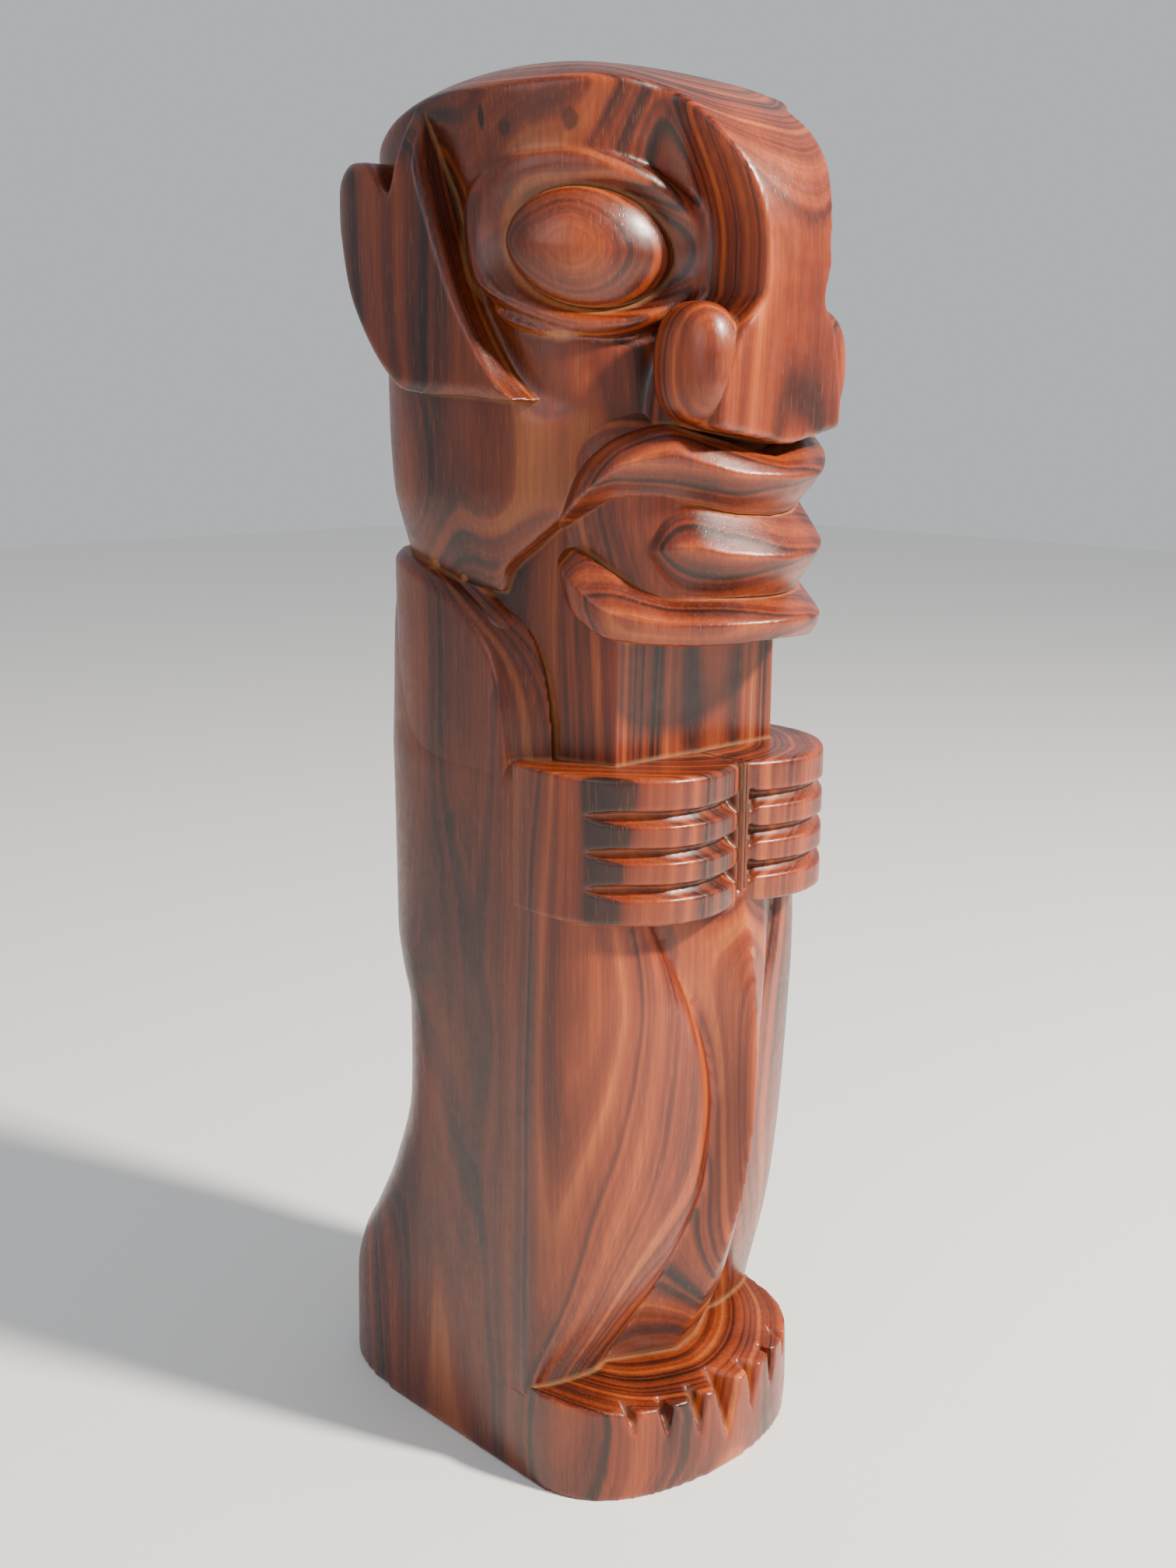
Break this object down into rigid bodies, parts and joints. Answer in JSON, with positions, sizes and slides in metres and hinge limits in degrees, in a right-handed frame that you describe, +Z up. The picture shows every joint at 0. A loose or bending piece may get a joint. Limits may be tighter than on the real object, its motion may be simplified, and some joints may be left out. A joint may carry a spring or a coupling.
{
  "type": "carved wooden tiki figure",
  "caption": "Standing tiki figure carved from one log, with a domed brow, round lidded eyes, ear flaps, stacked lips and hands folded over the belly.",
  "frame": {"origin": "on the ground under the log's pith axis, in the plane of the flat base", "axes": "+Z up along the log, the figure faces -Y, its right side is at -X"},
  "size_m": [0.2382, 0.3029, 0.8],
  "materials": {
    "carved_wood": "hand-rubbed satin varnish over red-brown striped hardwood"
  },
  "bodies": {
    "root": {"trunk": "carved_wood", "foot_platform": "carved_wood", "right_thigh": "carved_wood", "left_thigh": "carved_wood", "belly_keel": "carved_wood", "right_arm": "carved_wood", "left_arm": "carved_wood", "right_hand": "carved_wood", "left_hand": "carved_wood", "hand_strip": "carved_wood", "neck": "carved_wood", "jaw": "carved_wood", "lower_lip": "carved_wood", "mouth_band": "carved_wood", "upper_lip": "carved_wood", "head_core": "carved_wood", "nose_ridge": "carved_wood", "right_nostril": "carved_wood", "left_nostril": "carved_wood", "right_eyeball": "carved_wood", "left_eyeball": "carved_wood", "right_eye_rim": "carved_wood", "left_eye_rim": "carved_wood", "right_ear": "carved_wood", "left_ear": "carved_wood", "brow_cap": "carved_wood"}
  },
  "joints": []
}
